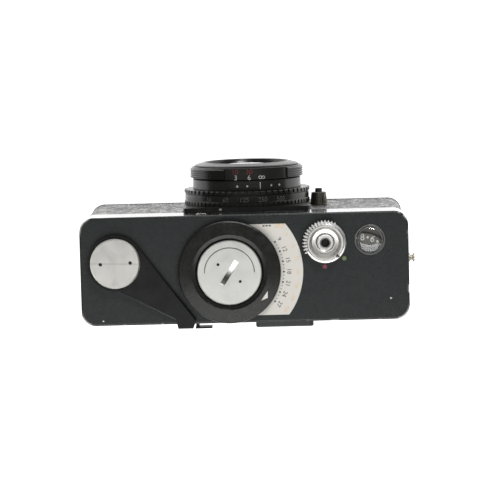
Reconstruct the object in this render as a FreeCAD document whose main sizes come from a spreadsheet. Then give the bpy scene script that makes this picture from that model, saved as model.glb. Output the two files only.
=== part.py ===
import FreeCAD, Part
import Sketcher
import math, os

# Half frame camera, built as separate pieces.  Millimetres.  The front of the camera faces -Y, the
# base stands on Z = 0 and the origin is the mouth of the tripod socket, at the middle of the base.
V = FreeCAD.Vector
doc = FreeCAD.newDocument("half_frame_camera")
sheet = doc.addObject("Spreadsheet::Sheet", "Dims")

DIMS = [
    # casing
    ("body_width", 116.4), ("body_depth", 38.5), ("body_height", 66.0), ("corner_radius", 5.0),
    ("cover_wall", 1.0), ("roof_wall", 1.2), ("top_skirt", 15.0), ("base_skirt", 4.0),
    ("edge_round", 0.7), ("chassis_gap", 0.05), ("chassis_rear", 13.9), ("chassis_top", 52.0),
    ("skin_side", 0.8), ("skin_front", 1.0),
    # film chambers and gate
    ("cartridge_x", -41.5), ("chamber_y", 2.2), ("cartridge_radius", 13.0),
    ("take_up_x", 40.4), ("take_up_y", 2.3), ("take_up_radius", 12.3),
    ("chamber_floor", 3.2), ("floor_split", 7.2), ("chamber_roof", 49.6), ("film_plane", 11.8), ("gate_thick", 1.1),
    ("gate_width", 18.0), ("gate_height", 24.0),
    # lens
    ("lens_x", -1.0), ("lens_y", -0.45), ("lens_z", 29.0), ("board_half", 22.6), ("board_thick", 1.6),
    ("board_low", 5.0), ("board_top", 53.6),
    ("barrel_radius", 17.0), ("barrel_bore", 15.2), ("ring_radius", 22.9), ("dof_radius", 19.7),
    ("focus_radius", 20.6), ("running_gap", 0.05), ("case_radius", 20.3), ("aperture_radius", 5.4),
    # wind lever
    ("wind_x", 45.5), ("wind_y", -3.2), ("wind_cap_radius", 8.8), ("lever_hub", 9.9),
    ("lever_low", 66.35), ("lever_top", 68.0), ("shaft_radius", 2.0),
    # film speed dial and battery cap
    ("wheel_x", 5.3), ("wheel_y", 0.9), ("wheel_radius", 18.1), ("wheel_step", 13.0),
    ("cap_radius", 11.4), ("cup_radius", 11.5), ("scale_outer", 26.0),
    # release
    ("release_x", -28.7), ("release_y", -8.7), ("collar_radius", 7.4), ("button_radius", 3.0),
    ("socket_radius", 1.55), ("socket_depth", 4.0),
    # frame counter
    ("counter_x", -44.5), ("counter_y", -9.2), ("counter_radius", 5.3), ("counter_disc_x", -42.2), ("counter_disc_y", -1.7),
    # rear door
    ("hinge_x", 55.7), ("hinge_y", 16.75), ("knuckle_radius", 1.45), ("hinge_pin_radius", 0.72),
    # small parts
    ("front_button_x", -27.2), ("front_button_z", 27.0), ("lug_y", -1.8), ("lug_z", 58.0),
    ("tripod_radius", 3.1), ("tripod_depth", 5.5), ("rewind_radius", 8.0),
]
for i, (name, value) in enumerate(DIMS):
    sheet.set("A%d" % (i + 1), "'" + name)
    sheet.set("B%d" % (i + 1), repr(value))
    sheet.setAlias("B%d" % (i + 1), name)
doc.recompute()


class Q:
    """A length: its value, and the sheet expression that drives it (None for a plain number)."""
    def __init__(self, v, e=None):
        self.v = float(v)
        self.e = e

    def text(self):
        return self.e if self.e else repr(self.v)

    def _op(self, other, sign, value):
        bound = self.e or other.e
        return Q(value, "(%s %s %s)" % (self.text(), sign, other.text()) if bound else None)

    def __add__(self, o): o = q(o); return self._op(o, "+", self.v + o.v)
    def __radd__(self, o): return q(o) + self
    def __sub__(self, o): o = q(o); return self._op(o, "-", self.v - o.v)
    def __rsub__(self, o): return q(o) - self
    def __mul__(self, o): o = q(o); return self._op(o, "*", self.v * o.v)
    def __rmul__(self, o): return q(o) * self
    def __truediv__(self, o): o = q(o); return self._op(o, "/", self.v / o.v)
    def __neg__(self): return Q(0) - self


def q(x):
    return x if isinstance(x, Q) else Q(x)


class Table:
    pass


D = Table()
for name, value in DIMS:
    setattr(D, name, Q(value, "Dims." + name))


def bind(obj, prop, val):
    val = q(val)
    if val.e:
        obj.setExpression(prop, val.e)


class Draw:
    """A sketch on one of its body's origin planes, with every point held by a dimension."""
    def __init__(self, body, plane, offset, spin=0.0):
        self.sk = body.newObject("Sketcher::SketchObject", body.Label + "_sketch")
        ref = [o for o in body.Origin.OriginFeatures if o.Role == plane + "_Plane"][0]
        self.sk.AttachmentSupport = [(ref, "")]
        self.sk.MapMode = "FlatFace"
        off = q(offset)
        self.sk.AttachmentOffset = FreeCAD.Placement(V(0, 0, off.v), FreeCAD.Rotation(V(0, 0, 1), spin))
        bind(self.sk, "AttachmentOffset.Base.z", off)

    def _hold(self, geo, pos, x, y):
        for kind, axis, val in (("DistanceX", -2, q(x)), ("DistanceY", -1, q(y))):
            if abs(val.v) < 1e-9 and not val.e:
                self.sk.addConstraint(Sketcher.Constraint("PointOnObject", geo, pos, axis))
            else:
                n = self.sk.addConstraint(Sketcher.Constraint(kind, -1, 1, geo, pos, val.v))
                bind(self.sk, "Constraints[%d]" % n, val)

    def poly(self, pts):
        base = self.sk.GeometryCount
        n = len(pts)
        for i in range(n):
            a, b = pts[i], pts[(i + 1) % n]
            self.sk.addGeometry(Part.LineSegment(V(q(a[0]).v, q(a[1]).v, 0), V(q(b[0]).v, q(b[1]).v, 0)), False)
        for i in range(n):
            self.sk.addConstraint(Sketcher.Constraint("Coincident", base + i, 2, base + (i + 1) % n, 1))
        for i in range(n):
            self._hold(base + i, 1, pts[i][0], pts[i][1])
        return self

    def rect(self, x0, x1, y0, y1):
        return self.poly([(x0, y0), (x1, y0), (x1, y1), (x0, y1)])

    def circle(self, cx, cy, r):
        r = q(r)
        g = self.sk.addGeometry(Part.Circle(V(q(cx).v, q(cy).v, 0), V(0, 0, 1), r.v), False)
        self._hold(g, 3, cx, cy)
        n = self.sk.addConstraint(Sketcher.Constraint("Radius", g, r.v))
        bind(self.sk, "Constraints[%d]" % n, r)
        return self

    def rrect(self, x0, x1, y0, y1, r):
        x0, x1, y0, y1, r = q(x0), q(x1), q(y0), q(y1), q(r)
        base = self.sk.GeometryCount
        ends = [((x0 + r, y0), (x1 - r, y0)), ((x1, y0 + r), (x1, y1 - r)),
                ((x1 - r, y1), (x0 + r, y1)), ((x0, y1 - r), (x0, y0 + r))]
        for a, b in ends:
            self.sk.addGeometry(Part.LineSegment(V(a[0].v, a[1].v, 0), V(b[0].v, b[1].v, 0)), False)
        centres = [(x1 - r, y0 + r, -90, 0), (x1 - r, y1 - r, 0, 90), (x0 + r, y1 - r, 90, 180), (x0 + r, y0 + r, 180, 270)]
        for cx, cy, a0, a1 in centres:
            self.sk.addGeometry(Part.ArcOfCircle(Part.Circle(V(cx.v, cy.v, 0), V(0, 0, 1), r.v),
                                                 math.radians(a0), math.radians(a1)), False)
        for i in range(4):
            self._hold(base + i, 1, *ends[i][0])
            self._hold(base + i, 2, *ends[i][1])
            self.sk.addConstraint(Sketcher.Constraint("Coincident", base + 4 + i, 1, base + i, 2))
            self.sk.addConstraint(Sketcher.Constraint("Coincident", base + 4 + i, 2, base + (i + 1) % 4, 1))
            n = self.sk.addConstraint(Sketcher.Constraint("Radius", base + 4 + i, r.v))
            bind(self.sk, "Constraints[%d]" % n, r)
        return self


PIECES = []


class Piece:
    """One separate physical piece: a PartDesign body with a label of its own."""
    def __init__(self, label, x=0, y=0, z=0, spin=0.0, about=(0, 0, 1)):
        self.body = doc.addObject("PartDesign::Body", label)
        self.body.Label = label
        self.body.Placement = FreeCAD.Placement(V(q(x).v, q(y).v, q(z).v), FreeCAD.Rotation(V(*about), spin))
        for prop, val in (("x", x), ("y", y), ("z", z)):
            bind(self.body, "Placement.Base." + prop, val)
        PIECES.append(self.body)

    def _feature(self, kind, draw):
        f = self.body.newObject("PartDesign::" + kind, self.body.Label + "_" + kind.lower())
        f.Profile = draw.sk
        return f

    def _done(self, f, before=None):
        self.body.Tip = f
        doc.recompute()
        if "Invalid" in f.State or f.Shape.isNull():
            raise RuntimeError("%s: %s failed" % (self.body.Label, f.Name))
        if before is not None and not f.Shape.Volume < before - 1e-6:
            raise RuntimeError("%s: %s cuts nothing" % (self.body.Label, f.Name))
        return f

    def pad(self, plane, low, high, shape, spin=0.0):
        low, high = q(low), q(high)
        d = Draw(self.body, plane, -high if plane == "XZ" else low, spin)
        shape(d)
        f = self._feature("Pad", d)
        f.Length = (high - low).v
        bind(f, "Length", high - low)
        return self._done(f)

    def cut(self, plane, low, high, shape, spin=0.0):
        low, high = q(low), q(high)
        before = self.body.Shape.Volume
        d = Draw(self.body, plane, -low if plane == "XZ" else high, spin)
        shape(d)
        f = self._feature("Pocket", d)
        f.Type = "Length"
        f.Length = (high - low).v
        bind(f, "Length", high - low)
        return self._done(f, before)

    def turn(self, axis, pts, angle=360.0):
        d = Draw(self.body, "XZ" if axis == "Z" else "XY", 0)
        d.poly(pts)
        f = self._feature("Revolution", d)
        f.ReferenceAxis = (d.sk, ["V_Axis"])
        f.Angle = angle
        return self._done(f)

    def groove(self, axis, pts, angle=360.0, reverse=False, middle=False):
        before = self.body.Shape.Volume
        d = Draw(self.body, "XZ" if axis == "Z" else "XY", 0)
        d.poly(pts)
        f = self._feature("Groove", d)
        f.ReferenceAxis = (d.sk, ["V_Axis"])
        f.Angle = angle
        f.Reversed = reverse
        f.Midplane = middle
        return self._done(f, before)

    def polar(self, original, axis, count, angle=360.0):
        ref = [o for o in self.body.Origin.OriginFeatures if o.Role == axis + "_Axis"][0]
        f = self.body.newObject("PartDesign::PolarPattern", self.body.Label + "_polar")
        f.Originals = [original]
        f.Axis = (ref, [""])
        f.Angle = angle
        f.Occurrences = count
        return self._done(f)

    def soften(self, kind, size, pick):
        """Round or chamfer the edges of the tip for which pick(edge) is true."""
        tip = self.body.Tip
        names = ["Edge%d" % (i + 1) for i, e in enumerate(tip.Shape.Edges) if pick(e)]
        f = self.body.newObject("PartDesign::" + kind, self.body.Label + "_" + kind.lower())
        f.Base = (tip, names)
        if kind == "Fillet":
            f.Radius = q(size).v
            bind(f, "Radius", size)
        else:
            f.Size = q(size).v
            bind(f, "Size", size)
        return self._done(f)


def level(z, tol=1e-3):
    """Edges that lie wholly in the plane Z = z."""
    return lambda e: abs(e.BoundBox.ZMin - z) < tol and abs(e.BoundBox.ZMax - z) < tol


half_w = D.body_width / 2
half_d = D.body_depth / 2
front = -half_d
roof = D.body_height
skirt_low = D.body_height - D.top_skirt
in_w = half_w - D.cover_wall
in_d = half_d - D.cover_wall

# ---------------------------------------------------------------- covers
top = Piece("top_cover")
top.pad("XY", skirt_low, roof, lambda s: s.rrect(-half_w, half_w, -half_d, half_d, D.corner_radius))
top.soften("Fillet", D.edge_round, level(roof.v))
top.cut("XY", skirt_low, roof - D.roof_wall, lambda s: s.rrect(-in_w, in_w, -in_d, in_d, D.corner_radius - D.cover_wall))
top.cut("XY", roof - 2, roof, lambda s: s.circle(D.wind_x, D.wind_y, D.shaft_radius + D.running_gap)
        .circle(D.wheel_x, D.wheel_y, D.cup_radius + 0.05)
        .circle(D.release_x, D.release_y, 5.25)
        .circle(D.counter_x, D.counter_y, D.counter_radius + 0.25))
# finder window and meter window in the front wall
top.cut("XZ", front - 1, front + 2, lambda s: s.rrect(-22.3, -7.1, 53.9, 63.3, 1.0).circle(14.0, 58.6, 4.05))
# finder eyepiece and the rewind release slot in the rear wall
top.cut("XZ", half_d - 2, half_d + 1, lambda s: s.rrect(-22.3, -7.1, 54.2, 62.9, 1.0).rect(13.4, 18.1, 58.3, 61.2))
# strap lug hole in the side wall
top.cut("YZ", -half_w - 1, -half_w + 2, lambda s: s.circle(D.lug_y, D.lug_z, 1.25))

base = Piece("bottom_cover")
base.pad("XY", 0, D.base_skirt, lambda s: s.rrect(-half_w, half_w, -half_d, half_d, D.corner_radius))
base.soften("Fillet", D.edge_round, level(0.0))
base.cut("XY", D.cover_wall, D.base_skirt, lambda s: s.rrect(-in_w, in_w, -in_d, in_d, D.corner_radius - D.cover_wall))
base.cut("XY", -1, D.cover_wall + 1, lambda s: s.circle(0, 0, 5.05)
         .circle(D.cartridge_x, D.chamber_y, D.rewind_radius + 0.3)
         .circle(-52.6, -13.6, 1.75).circle(52.6, -13.6, 1.75).circle(52.6, 13.4, 1.75).circle(24.0, -13.6, 1.75))

# ---------------------------------------------------------------- die-cast chassis
cx = half_w - D.cover_wall - D.chassis_gap
cy = half_d - D.cover_wall - D.chassis_gap


def casting(label, low, high, cut_low, cut_high):
    """One part of the casting, with the film chambers and the sprocket's well, all open at the rear."""
    p = Piece(label)
    p.pad("XY", low, high, lambda s: s.rrect(-cx, cx, -cy, D.chassis_rear, D.corner_radius - D.cover_wall))
    p.cut("XY", cut_low, cut_high, lambda s: s.circle(D.cartridge_x, D.chamber_y, D.cartridge_radius))
    p.cut("XY", cut_low, cut_high, lambda s: s.rect(D.cartridge_x - D.cartridge_radius,
          D.cartridge_x + D.cartridge_radius, D.chamber_y, D.chassis_rear + 1))
    p.cut("XY", cut_low, cut_high, lambda s: s.circle(D.take_up_x, D.take_up_y, D.take_up_radius))
    p.cut("XY", cut_low, cut_high, lambda s: s.rect(D.take_up_x - D.take_up_radius,
          D.take_up_x + D.take_up_radius, D.take_up_y, D.chassis_rear + 1))
    p.cut("XY", cut_low, cut_high, lambda s: s.circle(20.5, 6.4, 6.9))
    p.cut("XY", cut_low, cut_high, lambda s: s.rect(-29.5, 30, D.film_plane, D.chassis_rear + 1))
    return p


def hinge_lug(p, low, high):
    p.pad("XY", low, high, lambda s: s.rect(D.hinge_x - 1.45, D.hinge_x + 1.4, D.chassis_rear - 1, D.hinge_y))
    p.pad("XY", low, high, lambda s: s.circle(D.hinge_x, D.hinge_y, D.knuckle_radius))


chassis = casting("body_chassis", D.floor_split, D.chassis_top, D.floor_split - 1, D.chamber_roof)
# lens tunnel from the gate to the shutter's seat
chassis.cut("XZ", -9, D.film_plane + 1, lambda s: s.rect(D.lens_x - 10.5, D.lens_x + 10.5, D.lens_z - 13.5, D.lens_z + 13.5))
chassis.cut("XZ", -cy - 1, -7.95, lambda s: s.circle(D.lens_x, D.lens_z, D.case_radius + 0.1))
# shaft holes in the roof and the front button's hole
chassis.cut("XY", D.chamber_roof - 0.5, D.chassis_top + 1, lambda s: s.circle(D.take_up_x, D.take_up_y, 1.85)
            .circle(20.5, 6.4, 1.55))
chassis.cut("XY", D.chassis_top - 1.6, D.chassis_top + 1, lambda s: s.circle(D.wind_x, D.wind_y, 1.55))
chassis.cut("XZ", -cy - 1, -13.2, lambda s: s.circle(D.front_button_x, D.front_button_z, 1.9))
# post that carries the frame counter
chassis.pad("XY", D.chassis_top - 0.5, 60, lambda s: s.circle(D.counter_disc_x, D.counter_disc_y, 2.4))
chassis.cut("XY", 53, 61, lambda s: s.circle(D.counter_disc_x, D.counter_disc_y, 1.05))
# two hinge lugs for the rear door; the lower one is shared with the floor casting
hinge_lug(chassis, D.floor_split, 10.0)
hinge_lug(chassis, 45.0, 50.4)
chassis.cut("XY", 4.0, 51.0, lambda s: s.circle(D.hinge_x, D.hinge_y, D.hinge_pin_radius + 0.03))

floor = casting("chassis_floor", D.cover_wall, D.floor_split, D.chamber_floor, D.floor_split + 1)
# tripod bush seat, rewind well and shaft holes
floor.cut("XY", 0, D.floor_split + 1, lambda s: s.circle(0, 0, 5.05))
floor.cut("XY", 0, 2.4, lambda s: s.circle(D.cartridge_x, D.chamber_y, D.rewind_radius + 0.3))
floor.cut("XY", 0, D.chamber_floor + 0.5, lambda s: s.circle(D.cartridge_x, D.chamber_y, 2.55)
          .circle(D.take_up_x, D.take_up_y, 1.55).circle(20.5, 6.4, 1.55))
hinge_lug(floor, 4.6, D.floor_split)
floor.cut("XY", 4.0, 8.0, lambda s: s.circle(D.hinge_x, D.hinge_y, D.hinge_pin_radius + 0.03))

skin = Piece("front_leatherette")
skin_x = cx + D.skin_side
skin.pad("XY", D.base_skirt + 0.1, skirt_low - 0.1, lambda s: s.rrect(-skin_x, skin_x, -cy - D.skin_front, half_d, D.corner_radius - 0.15))
skin.cut("XY", D.base_skirt, skirt_low, lambda s: s.rrect(-cx - 0.02, cx + 0.02, -cy - 0.02, half_d + 3, D.corner_radius - D.cover_wall))
skin.cut("XY", D.base_skirt, skirt_low, lambda s: s.rect(-70, 70, 13.4, 30))
skin.cut("XZ", front - 2, -15, lambda s: s.rect(D.lens_x - D.board_half - 0.1, D.lens_x + D.board_half + 0.1, D.board_low - 0.1, 60)
         .circle(D.front_button_x - 0.2, D.front_button_z, 2.6))
skin.cut("YZ", -70, -50, lambda s: s.rect(6.4, 20, 20.4, 39.4))

# four screws of the bottom cover, and the pin that the rear door turns on
screws = doc.addObject("Part::Feature", "screws_and_hinge_pin")
screws.Label = "screws_and_hinge_pin"
heads = []
for sx, sy in ((-52.6, -13.6), (52.6, -13.6), (52.6, 13.4), (24.0, -13.6)):
    head = Part.makeCylinder(1.6, 0.85, V(sx, sy, 0.12))
    slot = Part.makeBox(3.6, 0.45, 0.5, V(sx - 1.8, sy - 0.225, 0.0))
    slot.rotate(V(sx, sy, 0), V(0, 0, 1), 37 + 3 * sx)
    heads.append(head.cut(slot))
heads.append(Part.makeCylinder(D.hinge_pin_radius.v, 46.0, V(D.hinge_x.v, D.hinge_y.v, 4.5)))
screws.Shape = Part.makeCompound(heads)
PIECES.append(screws)

bush = Piece("tripod_bush")
bush.turn("Z", [(D.tripod_radius, 0.0), (5.0, 0.0), (5.0, 7.1), (0, 7.1), (0, D.tripod_depth), (D.tripod_radius, D.tripod_depth)])

lug = Piece("strap_lug", -half_w, D.lug_y, D.lug_z)
lug_pts = [(0, 1.6), (1.2, 1.6), (1.2, -0.02), (1.6, -0.02), (1.6, -0.55), (0.9, -0.75), (0.9, -1.5), (1.6, -1.75), (1.6, -2.1), (1.25, -2.3), (0, -2.3)]
d = Draw(lug.body, "XY", 0)
d.poly([(b, a) for a, b in lug_pts])
f = lug._feature("Revolution", d)
f.ReferenceAxis = (d.sk, ["H_Axis"])
f.Angle = 360
lug._done(f)

# ---------------------------------------------------------------- viewfinder
finder = Piece("finder_housing")
finder.pad("XZ", -17.4, 15.8, lambda s: s.rect(-22.8, -6.5, 52.3, 64.5).rect(-21.4, -7.9, 53.9, 63.1))
window = Piece("finder_window")
window.pad("XZ", front + 0.15, -17.5, lambda s: s.rrect(-22.2, -7.2, 54.0, 63.2, 0.9))
window.soften("Chamfer", 0.2, lambda e: abs(e.BoundBox.YMin - (front.v + 0.15)) < 1e-3 and abs(e.BoundBox.YMax - (front.v + 0.15)) < 1e-3)
meter = Piece("meter_window", 14.0, 0, 58.6)
meter.turn("Y", [(0, front - 0.5), (2.4, front - 0.35), (3.3, front - 0.05), (4.0, front + 0.1), (4.0, -17.3), (0, -17.3)])
bezel = Piece("eyepiece_bezel")
bezel.pad("XZ", half_d + 0.02, half_d + 1.95, lambda s: s.rrect(-24.0, -3.5, 53.2, 64.3, 1.4))
bezel.soften("Fillet", 0.45, lambda e: e.BoundBox.YMin > half_d.v + 1.85)
bezel.pad("XZ", half_d - 1.4, half_d + 0.5, lambda s: s.rrect(-22.2, -7.2, 54.3, 62.8, 0.9))
bezel.cut("XZ", half_d - 2, half_d + 4, lambda s: s.rrect(-20.4, -8.8, 55.3, 61.9, 0.8))
bezel.cut("XZ", half_d + 0.9, half_d + 4, lambda s: s.rrect(-21.6, -7.4, 54.4, 62.8, 1.4))
eye = Piece("eyepiece_lens")
eye.pad("XZ", 16.4, 17.75, lambda s: s.rrect(-22.0, -7.4, 54.4, 62.7, 0.8))

# ---------------------------------------------------------------- film speed dial, battery
scale = Piece("dial_scale_plate", D.wheel_x, D.wheel_y, roof)
scale.turn("Z", [(15.5, 0.02), (D.scale_outer, 0.02), (D.scale_outer, 0.25), (D.scale_outer - 0.08, 0.33), (15.5, 0.33)])
scale.cut("XY", -1, 1, lambda s: s.rect(-30, 30, -30, -16.6))
scale.cut("XY", -1, 1, lambda s: s.rect(-30, 30, 15.7, 30))
scale.cut("XY", -1, 1, lambda s: s.rect(-4.0, 30, -20, 20))
cup = Piece("battery_cup", D.wheel_x, D.wheel_y, 0)
cup.turn("Z", [(0, 58.5), (9.6, 58.5), (9.6, 60.5), (D.cup_radius, 60.5), (D.cup_radius, 68.2), (8.15, 68.2), (8.15, 59.8), (0, 59.8)])
cell = Piece("battery", D.wheel_x, D.wheel_y, 0)
cell.turn("Z", [(0, 59.85), (5.5, 59.85), (5.7, 60.6), (7.8, 61.0), (7.8, 65.6), (7.5, 65.9), (0, 65.9)])
dial = Piece("film_speed_dial", D.wheel_x, D.wheel_y, roof)
dial.turn("Z", [(D.cup_radius + 0.07, 0.55), (D.wheel_radius - 0.5, 0.55), (D.wheel_radius, 0.85), (D.wheel_radius, 2.75),
                (D.wheel_radius - 0.12, 3.0), (D.wheel_radius - 0.45, 3.15), (D.wheel_step + 0.35, 3.55), (D.wheel_step, 3.45),
                (D.wheel_step, 2.9), (D.cup_radius + 0.6, 2.75), (D.cup_radius + 0.07, 2.3)])
cap = Piece("battery_cap", D.wheel_x, D.wheel_y, roof)
cap.turn("Z", [(0, 0.4), (8.07, 0.4), (8.07, 2.3), (D.cap_radius, 2.3), (D.cap_radius, 3.75), (D.cap_radius - 0.3, 4.05), (0, 4.05)])
# coin slot with a scooped floor: the cutter is a disc of 12 mm radius
d = Draw(cap.body, "XZ", 0.9, 0)
d.sk.AttachmentOffset = FreeCAD.Placement(V(0, 0, 0), FreeCAD.Rotation(V(0, 1, 0), 57.2))
before = cap.body.Shape.Volume
g = d.sk.addGeometry(Part.Circle(V(0, 14.9, 0), V(0, 0, 1), 11.9), False)
d._hold(g, 3, 0, 14.9)
d.sk.addConstraint(Sketcher.Constraint("Radius", g, 11.9))
f = cap._feature("Pocket", d)
f.Type = "Length"
f.Length = 1.8
f.Midplane = True
cap._done(f, before)
cap.groove("Z", [(8.65, 3.8), (8.98, 3.8), (8.98, 4.5), (8.65, 4.5)], 180, reverse=True)
cap.cut("XY", 3.0, 5.0, lambda s: s.circle(3.92, -2.97, 0.52).circle(-3.73, 3.17, 0.52))

# ---------------------------------------------------------------- wind lever
wcap = Piece("wind_hub_cap", D.wind_x, D.wind_y, 0)
wcap.turn("Z", [(0, 69.3), (2.2, 69.3), (2.2, 68.05), (D.wind_cap_radius, 68.05), (D.wind_cap_radius, 69.9), (D.wind_cap_radius - 0.45, 70.35), (0, 70.35)])
wcap.cut("XY", 69.2, 71, lambda s: s.circle(5.15, 0.1, 0.62).circle(-5.4, -0.25, 0.62))
lever = Piece("wind_lever", D.wind_x, D.wind_y, 0)
lever.pad("XY", D.lever_low, D.lever_top, lambda s: s.circle(0, 0, D.lever_hub))
lever.pad("XY", D.lever_low, D.lever_top, lambda s: s.poly([(-7.45, -6.55), (3.9, 7.9), (-20.9, 20.6), (-21.6, 23.85), (-26.9, 23.85), (-28.0, 20.9)]))
lever.cut("XY", D.lever_low - 1, D.lever_top + 1, lambda s: s.circle(0, 0, D.shaft_radius + 0.02))
lever.soften("Chamfer", 0.3, lambda e: abs(e.BoundBox.ZMin - 68.0) < 1e-3 and abs(e.BoundBox.ZMax - 68.0) < 1e-3 and e.BoundBox.DiagonalLength > 5
             and isinstance(e.Curve, Part.Line))
# thumb tab turned down behind the rear edge
lever.pad("XY", 62.6, D.lever_top - 0.5, lambda s: s.rrect(-26.8, -21.8, 22.7, 23.8, 0.5))

# gears: 18 teeth on the lever's shaft, 12 on the take-up spool, module 0.5
def gear_face(teeth, module, backlash, phase):
    rp = teeth * module / 2.0
    ro, ri = rp + 0.85 * module, rp - 1.05 * module
    pts = []
    for k in range(teeth):
        a = math.radians(phase) + 2 * math.pi * k / teeth
        for r, w in ((ri, 0.62), (rp, 0.5 - backlash / (math.pi * module)), (ro, 0.26)):
            pts.append(V(r * math.cos(a - w * math.pi / teeth), r * math.sin(a - w * math.pi / teeth), 0))
        for r, w in ((ro, 0.26), (rp, 0.5 - backlash / (math.pi * module)), (ri, 0.62)):
            pts.append(V(r * math.cos(a + w * math.pi / teeth), r * math.sin(a + w * math.pi / teeth), 0))
    return Part.Face(Part.makePolygon(pts + [pts[0]]))


mesh_dir = math.degrees(math.atan2(D.take_up_y.v - D.wind_y.v, D.take_up_x.v - D.wind_x.v))
shaft = doc.addObject("Part::Feature", "wind_shaft")
shaft.Label = "wind_shaft"
core = Part.makeCylinder(1.5, 2.2, V(0, 0, 50.5)).fuse([Part.makeCylinder(D.shaft_radius.v, 16.5, V(0, 0, 52.7)),
        Part.makeCylinder(2.9, 1.0, V(0, 0, 56.2))])
gear = gear_face(18, 0.5, 0.22, mesh_dir).extrude(V(0, 0, 2.6))
gear.translate(V(0, 0, 53.6))
shaft.Shape = core.fuse(gear).removeSplitter()
shaft.Placement = FreeCAD.Placement(V(D.wind_x.v, D.wind_y.v, 0), FreeCAD.Rotation())
PIECES.append(shaft)

spool = doc.addObject("Part::Feature", "take_up_spool")
spool.Label = "take_up_spool"
drum = Part.makeCylinder(5.6, 44.2, V(0, 0, 4.2))
for zf in (4.2, 46.9):
    drum = drum.fuse(Part.makeCylinder(8.4, 1.5, V(0, 0, zf)))
slot = Part.makeBox(1.4, 14, 36, V(-0.7, -7, 11))
drum = drum.cut(slot)
drum = drum.fuse([Part.makeCylinder(1.5, 3.2, V(0, 0, 1.3)), Part.makeCylinder(1.8, 8.6, V(0, 0, 48.2))])
gear = gear_face(12, 0.5, 0.22, mesh_dir + 180 + 15).extrude(V(0, 0, 2.6))
gear.translate(V(0, 0, 53.6))
spool.Shape = drum.fuse(gear).removeSplitter()
spool.Placement = FreeCAD.Placement(V(D.take_up_x.v, D.take_up_y.v, 0), FreeCAD.Rotation())
PIECES.append(spool)

sprocket = Piece("film_sprocket", 20.5, 6.4, 0)
sprocket.turn("Z", [(0, 1.4), (1.5, 1.4), (1.5, 4.2), (3.4, 4.2), (3.4, 12.6), (5.6, 12.9), (5.6, 17.0), (3.4, 17.3), (3.4, 40.7),
                    (5.6, 41.0), (5.6, 45.1), (3.4, 45.4), (3.4, 48.6), (1.5, 48.6), (1.5, 51.8), (0, 51.8)])
for zt in (14.9, 43.1):
    tooth = sprocket.pad("XY", zt - 0.7, zt + 0.7, lambda s: s.poly([(5.3, -0.8), (6.05, -0.55), (6.45, -0.3), (6.45, 0.3), (6.05, 0.55), (5.3, 0.8)]))
    sprocket.polar(tooth, "Z", 8)

gate = Piece("film_gate")
gate.pad("XZ", D.film_plane + 0.02, D.film_plane + D.gate_thick, lambda s: s.rect(D.lens_x - 24, D.lens_x + 13.6, 6.5, 48.5)
         .rect(D.lens_x - D.gate_width / 2, D.lens_x + D.gate_width / 2, D.lens_z - D.gate_height / 2, D.lens_z + D.gate_height / 2))
gate.cut("XZ", D.film_plane + 0.8, D.film_plane + 2, lambda s: s.rect(-30, 20, 12.2, 45.8)
         .rect(D.lens_x - D.gate_width / 2 - 1.6, D.lens_x + D.gate_width / 2 + 1.6, D.lens_z - D.gate_height / 2 - 1.6, D.lens_z + D.gate_height / 2 + 1.6))

# ---------------------------------------------------------------- release and lock collar
guide = Piece("release_guide", D.release_x, D.release_y, 0)
guide.turn("Z", [(D.button_radius + D.running_gap, 59.5), (5.2, 59.5), (5.2, 66.2), (D.button_radius + D.running_gap, 66.2)])
button = Piece("release_button", D.release_x, D.release_y, 0)
button.turn("Z", [(0, 57.0), (1.2, 57.0), (1.2, 60.2), (D.button_radius, 60.2), (D.button_radius, 68.9), (D.button_radius - 0.35, 69.25),
                  (D.socket_radius + 0.45, 69.25), (D.socket_radius, 68.8), (D.socket_radius, 68.8 - D.socket_depth), (0, 68.8 - D.socket_depth)])
collar = Piece("lock_collar", D.release_x, D.release_y, 0, 242.5)
collar.turn("Z", [(D.button_radius + 0.25, 66.4), (D.collar_radius - 0.15, 66.4), (D.collar_radius, 66.55), (D.collar_radius, 67.2),
                  (D.collar_radius - 0.3, 67.5), (6.75, 67.6), (6.45, 69.5), (6.2, 69.75), (5.75, 69.75), (5.5, 69.5), (4.7, 67.9), (D.button_radius + 0.25, 67.6)])
tooth = collar.pad("XY", 67.0, 69.55, lambda s: s.poly([(6.0, -0.32), (7.75, -0.26), (8.05, -0.12), (8.05, 0.12), (7.75, 0.26), (6.0, 0.32)]))
collar.polar(tooth, "Z", 17, 143.0)
collar.cut("XY", 67.1, 68.4, lambda s: s.rect(6.85, 7.35, -0.28, 0.28), spin=-108.0)
for label, dx, dy in (("green_dot", -6.6, 5.85), ("red_dot", 0.3, 8.65)):
    dot = Piece(label, D.release_x, D.release_y, roof)
    dot.pad("XY", 0.01, 0.16, lambda s, dx=dx, dy=dy: s.circle(dx, dy, 0.75))

# ---------------------------------------------------------------- frame counter
cbez = Piece("counter_bezel", D.counter_x, D.counter_y, roof)
cbez.turn("Z", [(D.counter_radius - 0.35, -1.1), (D.counter_radius + 0.2, -1.1), (D.counter_radius + 0.2, 0.3), (D.counter_radius, 0.45), (D.counter_radius - 0.35, 0.45)])
cwin = Piece("counter_window", D.counter_x, D.counter_y, roof)
wr = D.counter_radius - 0.4
cwin.turn("Z", [(0, -1.1), (wr, -1.1), (wr, 0.35), (wr * 0.93, 0.72), (wr * 0.82, 1.02), (wr * 0.68, 1.28), (wr * 0.52, 1.48), (wr * 0.35, 1.62), (wr * 0.18, 1.7), (0, 1.73)])
cdisc = Piece("counter_disc", D.counter_disc_x, D.counter_disc_y, 0)
cdisc.turn("Z", [(0, 54.5), (1.0, 54.5), (1.0, 60.4), (3.0, 60.4), (3.0, 62.9), (9.6, 62.9), (9.6, 63.6), (0, 63.6)])

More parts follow.
